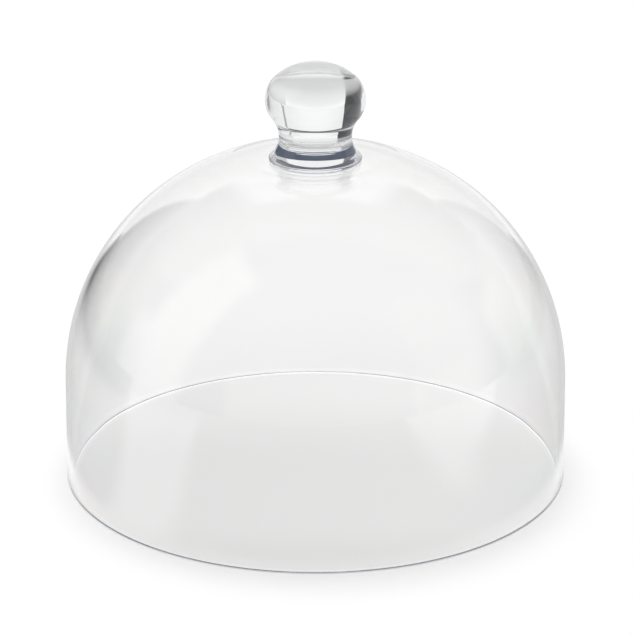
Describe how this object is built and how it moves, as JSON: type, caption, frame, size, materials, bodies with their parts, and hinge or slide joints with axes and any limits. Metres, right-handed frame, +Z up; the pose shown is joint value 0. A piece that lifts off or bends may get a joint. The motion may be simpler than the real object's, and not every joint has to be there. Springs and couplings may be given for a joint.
{
  "type": "buffet food cover dome",
  "caption": "Clear dome-shaped food cover with a straight lower wall, an open underside and a waisted ball knob, set over a plate or tray to keep food covered.",
  "frame": {"origin": "on the dome's axis, at the level of the rim's flat underside", "axes": "+Z up along the dome's axis, through the knob; +X to the right and +Y away from the picture's viewer"},
  "size_m": [0.26, 0.2598, 0.2193],
  "materials": {
    "dome_plastic": "clear, glossy",
    "knob_plastic": "clear, polished",
    "bond_adhesive": "clear, cured"
  },
  "bodies": {
    "root": {"dome_shell": "dome_plastic", "knob": "knob_plastic", "knob_bond": "bond_adhesive"}
  },
  "joints": []
}
